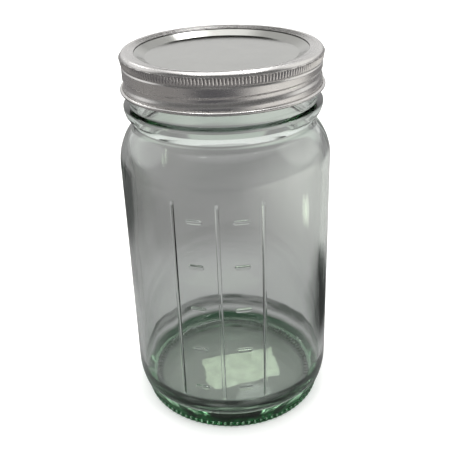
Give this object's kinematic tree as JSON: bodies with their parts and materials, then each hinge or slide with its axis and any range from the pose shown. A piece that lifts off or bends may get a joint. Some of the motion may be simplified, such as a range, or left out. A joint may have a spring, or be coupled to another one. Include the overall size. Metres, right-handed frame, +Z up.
{
  "type": "mason jar",
  "caption": "Wide-mouth glass canning jar with a threaded neck, closed by a flat pressed lid held down by a fluted screw band, with ribs and level ticks on one side.",
  "frame": {"origin": "centre of the jar's bearing ring, on the surface that it stands on", "axes": "+Z up along the jar's axis; -Y is the side with the ribs and the level ticks; +X is to the right of someone looking at that side"},
  "size_m": [0.0954, 0.0959, 0.1738],
  "materials": {
    "glass": "clear soda-lime glass with a faint green tint",
    "lid_plate": "satin tinplate",
    "seal": "matt grey sealing compound",
    "band_plate": "bright tinplate with a fine rolled grain"
  },
  "bodies": {
    "jar": {"jar": "glass"},
    "lid": {"lid_disc": "lid_plate", "sealing_ring": "seal"},
    "band": {"screw_band": "band_plate"}
  },
  "joints": [
    {"name": "lid_lift", "type": "slide", "parent": "jar", "child": "lid", "axis": [0, 0, 1], "range_m": [0, 0.01905]},
    {"name": "band_turn", "type": "hinge", "parent": "lid", "child": "band", "pos_m": [0, 0, 0.165], "axis": [0, 0, 1], "range_deg": [0, 1080]}
  ],
  "couplings": [
    {"joint": "lid_lift", "follows": "band_turn", "m_per_rad": 0.0010106}
  ]
}
